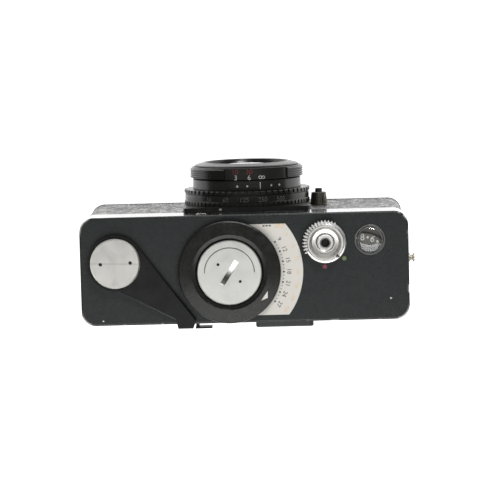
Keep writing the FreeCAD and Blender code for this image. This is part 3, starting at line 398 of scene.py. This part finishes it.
CAD_MAT = {
    "body_chassis": "die", "chassis_floor": "die", "top_cover": "enamel", "bottom_cover": "enamel", "screws_and_hinge_pin": "steel", "tripod_bush": "steel",
    "strap_lug": "lug", "finder_housing": "inner", "finder_window": "window", "meter_window": "window",
    "eyepiece_bezel": "bezel", "eyepiece_lens": "window", "dial_scale_plate": "scale", "battery_cup": "ring", "battery": "steel",
    "film_gate": "steel", "release_guide": "ring", "green_dot": "green", "red_dot": "red", "counter_bezel": "rim",
    "counter_window": "dome", "lens_board": "board", "shutter_case": "inner", "lens_barrel": "ring", "dof_scale_ring": "ring",
    "rear_element": "lens", "shutter_plate": "inner", "front_button_collar": "olive",
    "wind_lever": "lever", "wind_hub_cap": "hub", "wind_shaft": "steel", "take_up_spool": "moulded", "film_sprocket": "moulded",
    "counter_disc": "grey", "film_speed_dial": "wheel", "battery_cap": "cap", "release_button": "chrome", "lock_collar": "chrome",
    "rewind_release_slide": "lever", "rewind_disc": "ring", "rewind_fork": "steel", "rewind_crank": "rewind",
    "aperture_ring": "ring", "speed_ring": "ring", "focus_ring": "ring", "front_cell": "ring", "front_element": "lens",
    "iris_leaf_left": "steel", "iris_leaf_right": "steel", "shutter_drive_ring": "steel", "shutter_blade_1": "steel",
    "shutter_blade_2": "steel", "shutter_blade_3": "steel", "front_button": "moulded", "rear_door": "enamel",
    "plate_spring": "steel", "pressure_plate": "board", "door_latch": "lever",
    "front_leatherette": "leather", "door_leatherette": "leather",
}
for name, key in CAD_MAT.items():
    paint(N[name], M[key])


# ------------------------------------------------------------------ mesh helpers
def add_mesh(name, verts, faces, mat, body, slot, smooth=True):
    me = bpy.data.meshes.new(name)
    me.from_pydata([tuple(v) for v in verts], [], faces)
    me.validate()
    me.update()
    o = bpy.data.objects.new(name, me)
    scene.collection.objects.link(o)
    for p in me.polygons:
        p.use_smooth = smooth
    paint(o, M[mat])
    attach(o, body)
    return o


def text_mesh(s, size):
    """Flat glyphs of a string as (verts, faces), centred, size = digit height in metres."""
    cu = bpy.data.curves.new("t", "FONT")
    cu.body = s
    cu.align_x = "CENTER"
    cu.align_y = "CENTER"
    cu.size = 1.0
    cu.resolution_u = 3
    o = bpy.data.objects.new("t", cu)
    scene.collection.objects.link(o)
    bpy.context.view_layer.update()
    me = bpy.data.meshes.new_from_object(o.evaluated_get(bpy.context.evaluated_depsgraph_get()))
    co = np.array([v.co[:] for v in me.vertices], float).reshape(-1, 3)
    faces = [tuple(p.vertices) for p in me.polygons]
    bpy.data.objects.remove(o)
    bpy.data.curves.remove(cu)
    bpy.data.meshes.remove(me)
    lo, hi = co.min(0), co.max(0)
    k = size / 0.70            # the built-in font's digits are about 0.70 of its size
    co[:, 0] -= (lo[0] + hi[0]) / 2
    co[:, 1] -= (lo[1] + hi[1]) / 2
    return co[:, :2] * k, faces


def disc2d(r, n=24):
    pts = [(r * math.cos(2 * math.pi * i / n), r * math.sin(2 * math.pi * i / n)) for i in range(n)]
    return np.array(pts), [tuple(range(n))]


def rect2d(w, h, div=8):
    pts, faces = [], []
    for i in range(div + 1):
        x = -w / 2 + w * i / div
        pts += [(x, -h / 2), (x, h / 2)]
    for i in range(div):
        faces.append((2 * i, 2 * i + 2, 2 * i + 3, 2 * i + 1))
    return np.array(pts), faces


class Marks:
    """Collects flat glyphs placed on surfaces into one thin raised mesh."""
    def __init__(self, name, mat, body, slot, thick=0.00004):
        self.name, self.mat, self.body, self.slot, self.thick = name, mat, body, slot, thick
        self.v, self.f = [], []

    def put(self, shape, place):
        """place(x, y, h) -> point in the frame for glyph coordinates x, y and height h above the surface."""
        co, faces = shape
        base = len(self.v)
        n = len(co)
        for hgt in (self.thick, -0.25 * self.thick):
            for x, y in co:
                self.v.append(place(x, y, hgt))
        edges = {}
        for fc in faces:
            self.f.append(tuple(base + i for i in fc))
            self.f.append(tuple(base + n + i for i in reversed(fc)))
            for a, b in zip(fc, fc[1:] + fc[:1]):
                edges[(a, b)] = edges.get((a, b), 0) + 1
        for (a, b) in edges:
            if (b, a) not in edges:
                self.f.append((base + b, base + a, base + n + a, base + n + b))

    def done(self):
        o = add_mesh(self.name, self.v, self.f, self.mat, self.body, self.slot, smooth=False)
        bm = bmesh.new()
        bm.from_mesh(o.data)
        bmesh.ops.recalc_face_normals(bm, faces=bm.faces)
        bm.to_mesh(o.data)
        bm.free()
        return o


def flat_place(cx, cy, z, angle, mirror=True):
    """On a plane Z = z, seen from above with -Y up: the glyph's x runs along -X and its y along -Y, turned by angle."""
    ca, sa = math.cos(angle), math.sin(angle)

    def place(x, y, hgt):
        u, v = x * ca - y * sa, x * sa + y * ca
        return (cx - u, cy - v, z + hgt)
    return place


def ring_place(radius, y_mid, deg, flip=1):
    """On a cylinder about the lens axis: deg is measured from the top towards -X; the glyph's y runs towards the front, -Y."""
    def place(x, y, hgt):
        a = math.radians(deg) + x / radius
        r = radius + hgt
        return (LX - r * math.sin(a), y_mid - y * flip, LZ + r * math.cos(a))
    return place


# ------------------------------------------------------------------ grained leatherette
def grain_field(pts, cell=0.00150):
    """Pebbled grain: 1 on top of a pebble, 0 in the creases between them, with some lower ones."""
    from mathutils import noise
    out = np.zeros(len(pts))
    for i, p in enumerate(pts):
        q = Vector(p) / cell
        w = noise.noise_vector(q * 0.6) * 0.35
        d, _ = noise.voronoi(q + w)
        ridge = min(1.0, max(0.0, (d[1] - d[0]) / 0.42))
        ridge = ridge * ridge * (3 - 2 * ridge)
        out[i] = ridge * (0.74 + 0.26 * noise.noise(q * 0.42)) + 0.12 * noise.noise(q * 2.3)
    return out


def grained(node, name, body, outside, voxel=0.00026, depth=0.00019):
    """The CAD leatherette as an even mesh, pressed inwards along the creases of its grain on the outer face."""
    src = N[node]
    tmp = bpy.data.objects.new(name, src.data.copy())
    scene.collection.objects.link(tmp)
    tmp.matrix_world = src.matrix_world.copy()
    mod = tmp.modifiers.new("r", "REMESH")
    mod.mode = "VOXEL"
    mod.voxel_size = voxel
    bpy.context.view_layer.update()
    me = bpy.data.meshes.new_from_object(tmp.evaluated_get(bpy.context.evaluated_depsgraph_get()))
    me.transform(src.matrix_world)
    bpy.data.objects.remove(tmp)
    co = np.empty(len(me.vertices) * 3)
    me.vertices.foreach_get("co", co)
    co = co.reshape(-1, 3)
    no = np.empty(len(me.vertices) * 3)
    me.vertices.foreach_get("normal", no)
    no = no.reshape(-1, 3)
    pick = outside(co)
    idx = np.nonzero(pick)[0]
    h = grain_field(co[idx])
    co[idx] += no[idx] * ((h - 1.0) * depth)[:, None]
    me.vertices.foreach_set("co", co.ravel())
    me.update()
    o = bpy.data.objects.new(name, me)
    scene.collection.objects.link(o)
    me.polygons.foreach_set("use_smooth", [True] * len(me.polygons))
    paint(o, M["leather"])
    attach(o, body)
    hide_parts(node)
    return o


def front_outside(co):
    r = 0.00485
    qx = np.abs(co[:, 0]) - (0.05795 - r)
    qy = -co[:, 1] - (0.0192 - r)
    d = np.hypot(np.maximum(qx, 0), np.maximum(qy, 0)) + np.minimum(np.maximum(qx, qy), 0) - r
    inner_edges = (co[:, 2] > 0.00425) & (co[:, 2] < 0.05075)
    return (d > -0.00022) & inner_edges


def door_outside(co):
    return co[:, 1] > 0.01897


grained("front_leatherette", "front_leather", "camera", front_outside)
grained("door_leatherette", "door_leather", "rear_door", door_outside)

# ------------------------------------------------------------------ dial scale
WX, WY = WHEEL[0], WHEEL[1]
SZ = 0.06633
mk = Marks("scale_numbers", "black_ink", "camera", "black_enamel", 0.00003)
mo = Marks("scale_numbers_orange", "orange_ink", "camera", "red_paint", 0.00003)


def polar(r, deg):
    """Glyph-plane polar to the frame: 0 is the image's right, -X, and 90 is its top, -Y."""
    a = math.radians(deg)
    return WX - r * math.cos(a), WY - r * math.sin(a)


for k, (num, other) in enumerate(zip((9, 12, 15, 18, 21, 24, 27), (6, 12, 25, 50, 100, 200, 400))):
    a = 32.0 - 11.1 * k
    x, y = polar(0.0211, a)
    mk.put(text_mesh(str(num), 0.00148), flat_place(x, y, SZ, math.radians(a - 90)))
    x, y = polar(0.0242, a)
    mo.put(text_mesh(str(other), 0.00118), flat_place(x, y, SZ, math.radians(a - 90)))
    x, y = polar(0.0192, a)
    mk.put(disc2d(0.00034), flat_place(x, y, SZ, 0))
    if k < 6:
        for s in (1, 2):
            x, y = polar(0.0192, a - 11.1 * s / 3)
            mk.put(disc2d(0.00019, 14), flat_place(x, y, SZ, 0))
# two small headings, shown as short bars with no words
for mark, r, a, n in ((mk, 0.0212, 50.5, 3), (mo, 0.0240, 41.3, 3)):
    x, y = polar(r, a)
    for i in range(n):
        mark.put(rect2d(0.00095, 0.00048, 2), flat_place(x - 0.0011 * (i - (n - 1) / 2), y - 0.00048, SZ, 0))
        mark.put(rect2d(0.00078, 0.00048, 2), flat_place(x - 0.0011 * (i - (n - 1) / 2), y + 0.00040, SZ, 0))
mk.done()
mo.done()

# arrow on the dial's slope, a worn white triangle, with its foot towards the centre
dial_arrow = Marks("dial_arrow", "scale", "film_speed_dial", "scale_enamel", 0.00005)
ac, asn = math.radians(145.0), None
rad = Vector((math.cos(ac), math.sin(ac), 0))
tan = Vector((-math.sin(ac), math.cos(ac), 0))


def dial_height(r):
    """Z of the dial's top face at radius r, between the step and the rim."""
    r0, z0, r1, z1 = 0.01335, 0.06955, 0.01765, 0.06915
    return z0 + (z1 - z0) * (min(max(r, r0), r1) - r0) / (r1 - r0)


def arrow_place(x, y, hgt):
    p = rad * (0.0150 + y) + tan * x
    r = math.hypot(p.x, p.y)
    return (WX + p.x, WY + p.y, dial_height(r) + hgt)


tri, tf = [], []
steps = 8
for i in range(steps + 1):
    t = i / steps
    half = 0.00206 * (1 - t)
    y = -0.0002 + 0.0014 * t
    for j in range(5):
        tri.append((-half + 2 * half * j / 4, y))
for i in range(steps):
    for j in range(4):
        a0 = i * 5 + j
        tf.append((a0, a0 + 1, a0 + 6, a0 + 5) if i < steps - 1 else (a0, a0 + 1, (i + 1) * 5 + 2))
tri_np = np.array(tri)
# the last row is one point
tf = [f for f in tf if len(f) == 4] + [((steps - 1) * 5 + j, (steps - 1) * 5 + j + 1, steps * 5) for j in range(4)]
keep = sorted({i for f in tf for i in f})
remap = {k: i for i, k in enumerate(keep)}
dial_arrow.put((tri_np[keep], [tuple(remap[i] for i in f) for f in tf]), arrow_place)
dial_arrow.done()

# fine milling round the dial's rim
v, f = [], []
count = 150
for k in range(count):
    a = 2 * math.pi * k / count
    w = 2 * math.pi / count * 0.27
    base = len(v)
    for z in (0.06692, 0.06868):
        for r, da in ((0.01805, -w), (0.01822, -w * 0.35), (0.01822, w * 0.35), (0.01805, w)):
            v.append((WX + r * math.cos(a + da), WY + r * math.sin(a + da), z))
    for i in range(3):
        f.append((base + i, base + i + 1, base + 5 + i, base + 4 + i))
    f += [(base + 3, base + 2, base + 1, base), (base + 4, base + 5, base + 6, base + 7), (base + 3, base, base + 4, base + 7)]
add_mesh("dial_milling", v, f, "wheel", "film_speed_dial", "black_anodised", smooth=False)

# ------------------------------------------------------------------ lens markings
sp = Marks("speed_numbers", "grey_ink", "speed_ring", "scale_enamel", 0.00004)
for s, a in (("8", -88.0), ("15", -53.6), ("30", -36.6), ("60", -19.1), ("125", -1.4), ("250", 15.2), ("500", 33.3)):
    sp.put(text_mesh(s, 0.00165), ring_place(0.0226, -0.02325, a))
sp.done()
df = Marks("depth_marks", "dim_ink", "camera", "scale_enamel", 0.00004)
df.put(rect2d(0.00032, 0.0025, 2), ring_place(0.0197, -0.02810, 15.0))
for a, r in ((-9.2, 0.00042), (1.3, 0.00036), (27.4, 0.00036), (37.3, 0.00042)):
    df.put(disc2d(r), ring_place(0.0197, -0.02795, a))
df.done()
FOC_R = 0.01988
fm = Marks("focus_numbers", "dim_ink", "focus_ring", "scale_enamel", 0.00004)
inf, inff = text_mesh("8", 0.0020)
fm.put((np.stack([inf[:, 1] * 1.25, -inf[:, 0]], 1), inff), ring_place(FOC_R, -0.03105, 16.7))
fm.put(text_mesh("6", 0.0018), ring_place(FOC_R, -0.03105, 3.5))
fm.put(text_mesh("3", 0.0018), ring_place(FOC_R, -0.03105, -10.6))
fm.done()
fr = Marks("focus_numbers_red", "red_ink", "focus_ring", "red_paint", 0.00004)
fr.put(text_mesh("20", 0.0018), ring_place(FOC_R, -0.03315, 3.5))
fr.put(text_mesh("10", 0.0018), ring_place(FOC_R, -0.03315, -10.6))
fr.done()
bm_ = Marks("board_index", "dim_ink", "camera", "scale_enamel", 0.00004)
bm_.put(rect2d(0.0009, 0.0007, 2), lambda x, y, h: (0.0083 - x, -0.0202 - y, 0.0536 + h))
bm_.done()

# ------------------------------------------------------------------ frame counter
CDX, CDY, CDZ = -0.0422, -0.0017, 0.0636
cm = Marks("counter_numbers", "pale_ink", "counter_disc", "scale_enamel", 0.00003)
# marks run down to 0 to the right; the 8 and the 6 show in the window at rest
step = 26.0
for k in range(-5, 7):
    value = 8 - 2 * k
    a = 92.0 - step * k
    aa = math.radians(a)
    r = 0.0083
    x, y = CDX - r * math.cos(aa), CDY - r * math.sin(aa)
    if 0 <= value < 10:
        cm.put(text_mesh(str(value), 0.00235), flat_place(x, y, CDZ, math.radians(a - 90)))
    elif value >= 10:
        cm.put(text_mesh(str(value), 0.00160), flat_place(x, y, CDZ, math.radians(a - 90)))
    mid = aa - math.radians(step / 2)
    if value >= -2:
        cm.put(disc2d(0.00042), flat_place(CDX - r * math.cos(mid), CDY - r * math.sin(mid), CDZ, 0))
cm.done()

# ------------------------------------------------------------------ small dark depths painted as shade, and details
def disc_piece(name, cx, cy, z, r, mat, body, slot, r_in=0.0, a0=0.0, a1=360.0, n=48, thick=0.00003):
    """A thin flat disc, ring or arc lying on Z = z."""
    full = a1 - a0 >= 360.0
    n = max(8, int(n * (a1 - a0) / 360.0))
    v, f = [], []
    for k in range(n + (0 if full else 1)):
        a = math.radians(a0 + (a1 - a0) * k / n)
        for rr, zz in ((r_in, z), (r, z), (r, z - thick), (r_in, z - thick)):
            v.append((cx + rr * math.cos(a), cy + rr * math.sin(a), zz))
    m_ = len(v) // 4
    for k in range(n):
        j = (k + 1) % m_
        for q in range(4):
            f.append((4 * k + q, 4 * j + q, 4 * j + (q + 1) % 4, 4 * k + (q + 1) % 4))
    if not full:
        f += [(0, 1, 2, 3), tuple(4 * (m_ - 1) + i for i in (3, 2, 1, 0))]
    o = add_mesh(name, v, f, mat, body, slot, smooth=False)
    bm = bmesh.new()
    bm.from_mesh(o.data)
    bmesh.ops.remove_doubles(bm, verts=bm.verts, dist=1e-7)
    bmesh.ops.recalc_face_normals(bm, faces=bm.faces)
    bm.to_mesh(o.data)
    bm.free()
    return o


# black discs in the hub's and the cap's spanner holes: painted shade in the holes
for i, (dx, dy) in enumerate(((0.00515, 0.0001), (-0.0054, -0.00025))):
    disc_piece("hub_hole_shade_%d" % (i + 1), WIND[0] + dx, WIND[1] + dy, 0.07000, 0.00060, "inner", "wind_lever", "black_plastic")
for i, (dx, dy) in enumerate(((0.00392, -0.00297), (-0.00373, 0.00317))):
    disc_piece("cap_hole_shade_%d" % (i + 1), WX + dx, WY + dy, 0.06970, 0.00050, "inner", "battery_cap", "black_plastic")
# a black disc on the socket's floor: painted shade in the deep bore
disc_piece("release_socket_shade", REL[0], REL[1], 0.0672, 0.00154, "inner", "release_button", "black_plastic")
# three turns of thread in the release's socket, in black as painted shade
for i in range(5):
    disc_piece("release_thread_shade_%d" % (i + 1), REL[0], REL[1], 0.0674 + 0.00028 * i, 0.00154, "inner", "release_button", "black_plastic", r_in=0.00136, thick=0.00010)
ca = math.radians(132.0)
cu_, cv_ = (math.cos(ca), math.sin(ca)), (-math.sin(ca), math.cos(ca))
block, faces = [], []
for rr, zt, zb in ((0.00575, 0.06979, 0.0692), (0.00618, 0.06979, 0.0690), (0.00655, 0.0693, 0.0676), (0.00695, 0.0678, 0.0674)):
    for side, zz in ((-0.0005, zb), (-0.0005, zt), (0.0005, zt), (0.0005, zb)):
        block.append((REL[0] + rr * cu_[0] + side * cv_[0], REL[1] + rr * cu_[1] + side * cv_[1], zz))
for k in range(3):
    for q in range(4):
        faces.append((4 * k + q, 4 * k + (q + 1) % 4, 4 * k + 4 + (q + 1) % 4, 4 * k + 4 + q))
faces += [(3, 2, 1, 0), (12, 13, 14, 15)]
add_mesh("lock_collar_mark", block, faces, "inner", "lock_collar", "black_enamel", smooth=False)
disc_piece("counter_backing", CNT[0], CNT[1], 0.0624, 0.0047, "backing", "camera", "counter_grey")


def revolve(name, profile, centre, mat, body, slot, n=96, replaces=None):
    """A smooth turned piece about a vertical axis; profile is (radius, Z) from the axis outwards and round."""
    v, f = [], []
    rows = []
    for r, z in profile:
        if r < 1e-7:
            rows.append([len(v)])
            v.append((centre[0], centre[1], z))
        else:
            rows.append(list(range(len(v), len(v) + n)))
            for k in range(n):
                a = 2 * math.pi * k / n
                v.append((centre[0] + r * math.cos(a), centre[1] + r * math.sin(a), z))
    for p, q in zip(rows, rows[1:]):
        for k in range(n):
            j = (k + 1) % n
            if len(p) == 1:
                f.append((p[0], q[k], q[j]))
            elif len(q) == 1:
                f.append((p[k], q[0], p[j]))
            else:
                f.append((p[k], q[k], q[j], p[j]))
    o = add_mesh(name, v, f, mat, body, slot)
    bm = bmesh.new()
    bm.from_mesh(o.data)
    bmesh.ops.recalc_face_normals(bm, faces=bm.faces)
    bm.to_mesh(o.data)
    bm.free()
    for node in replaces or ():
        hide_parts(node)
    return o


WR = 0.0049
dome = []
for k in range(24, -1, -1):
    t = math.radians(90.0 * k / 24)
    dome.append((WR * math.cos(t) ** 0.82 if k < 24 else 0.0, 0.06634 + 0.00139 * math.sin(t)))
dome.append((WR, 0.0649))
dome.append((WR - 0.00035, 0.0649))
for k in range(25):
    t = math.radians(90.0 * k / 24)
    dome.append(((WR - 0.00035) * math.cos(t) ** 0.82 if k < 24 else 0.0, 0.06630 + 0.00108 * math.sin(t)))
revolve("counter_dome", dome, CNT, "dome", "camera", "clear_window", replaces=("counter_window",))

# ------------------------------------------------------------------ a soft-bevel helper for the CAD pieces, which nothing calls, and the base plate's normals
def bevel(node, width=0.00012, angle=35, segments=2):
    o = N[node]
    if "Weld" not in o.modifiers:
        w = o.modifiers.new("Weld", "WELD")
        w.merge_threshold = 0.000001
    b = o.modifiers.new("Bevel", "BEVEL")
    b.width = width
    b.segments = segments
    b.limit_method = "ANGLE"
    b.angle_limit = math.radians(angle)
    b.harden_normals = False
    b.use_clamp_overlap = True


# the base plate's large flat face keeps its own normal right up to the rounded rim
wd = N["bottom_cover"].modifiers.new("Weld", "WELD")
wd.merge_threshold = 0.000001
wn = N["bottom_cover"].modifiers.new("Flat", "WEIGHTED_NORMAL")
wn.mode = "FACE_AREA"
wn.weight = 100
wn.keep_sharp = True


# ------------------------------------------------------------------ a helper for felt or foam light-seal strips, which nothing calls
def strip(name, lo, hi, mat, body, slot, cell=0.0006, bumpy=0.00012):
    """A felt or foam strip, as a box with a finely uneven surface."""
    lo, hi = np.array(lo), np.array(hi)
    n = np.maximum(1, np.round((hi - lo) / cell).astype(int))
    bm = bmesh.new()
    seen = {}

    def vert(i, j, k):
        key = (i, j, k)
        if key not in seen:
            p = lo + (hi - lo) * np.array([i / n[0], j / n[1], k / n[2]])
            rnd = random.Random(hash(key) & 0xFFFFFF)
            c = (lo + hi) / 2
            q = p + (c - p) / max(1e-9, np.linalg.norm(c - p)) * rnd.random() * bumpy
            seen[key] = bm.verts.new(q)
        return seen[key]

    for axis in range(3):
        a, b = [x for x in range(3) if x != axis]
        for side in (0, n[axis]):
            for i in range(n[a]):
                for j in range(n[b]):
                    quad = []
                    for di, dj in ((0, 0), (1, 0), (1, 1), (0, 1)):
                        key = [0, 0, 0]
                        key[axis], key[a], key[b] = side, i + di, j + dj
                        quad.append(vert(*key))
                    bm.faces.new(quad)
    bmesh.ops.recalc_face_normals(bm, faces=bm.faces)
    me = bpy.data.meshes.new(name)
    bm.to_mesh(me)
    bm.free()
    o = bpy.data.objects.new(name, me)
    scene.collection.objects.link(o)
    paint(o, M[mat])
    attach(o, body)
    return o


# ------------------------------------------------------------------ floor, light, camera
floor_me = bpy.data.meshes.new("floor")
floor_me.from_pydata([(-3, -3, 0), (3, -3, 0), (3, 3, 0), (-3, 3, 0)], [], [(0, 1, 2, 3)])
floor = bpy.data.objects.new("floor", floor_me)
scene.collection.objects.link(floor)
fl = Mat("floor_white").set(rough=0.9, spec=0.0, color=(0.9, 0.9, 0.9), emit=0.80, emit_color=(1.0, 1.0, 1.0))
fl.to(fl.mix(fl.noise(3, 2, 0.5), (0.90, 0.90, 0.90), (0.92, 0.92, 0.92)), "Base Color")
# seen from above only, so that the underside of the camera can be looked at
side = fl.n.new("ShaderNodeNewGeometry")
fl.to(fl.math("SUBTRACT", 1.0, side.outputs["Backfacing"]), "Alpha")
paint(floor, fl)

world = bpy.data.worlds.new("studio")
scene.world = world
world.use_nodes = True
bg = next(x for x in world.node_tree.nodes if x.type == "BACKGROUND")
bg.inputs["Color"].default_value = (1.0, 1.0, 0.99, 1.0)
bg.inputs["Strength"].default_value = 0.27


def area(name, at, look, size, power, size_y=None, spread=180):
    li = bpy.data.lights.new(name, "AREA")
    li.energy = power
    li.shape = "RECTANGLE" if size_y else "SQUARE"
    li.size = size
    if size_y:
        li.size_y = size_y
    li.spread = math.radians(spread)
    o = bpy.data.objects.new(name, li)
    o.location = at
    d = Vector(look) - Vector(at)
    o.rotation_euler = d.to_track_quat("-Z", "Y").to_euler()
    scene.collection.objects.link(o)
    return o


area("key_rear", (0.0, 0.62, 1.02), (0, 0, 0.06), 1.40, 12.5, 0.80)
area("fill_front", (-0.20, -0.62, 0.62), (0, 0, 0.06), 0.30, 4.2, 0.16)

LOOK = Vector((-0.0021, -0.0066, 0.066))
AWAY = Vector((-0.0157, -0.094, 0.9955)).normalized()
UP = Vector((-0.02618, -0.99966, 0.0))
cam_data = bpy.data.cameras.new("camera_view")
cam = bpy.data.objects.new("camera_view", cam_data)
scene.collection.objects.link(cam)
scene.camera = cam
pos = LOOK + AWAY * 0.950
fwd = -AWAY
right = fwd.cross(UP).normalized()
up = right.cross(fwd).normalized()
cam.matrix_world = Matrix((
    (right.x, up.x, -fwd.x, pos.x),
    (right.y, up.y, -fwd.y, pos.y),
    (right.z, up.z, -fwd.z, pos.z),
    (0, 0, 0, 1)))
cam_data.sensor_width = 36.0
cam_data.sensor_fit = "HORIZONTAL"
cam_data.lens = 193.7
cam_data.clip_start = 0.01
cam_data.clip_end = 20.0
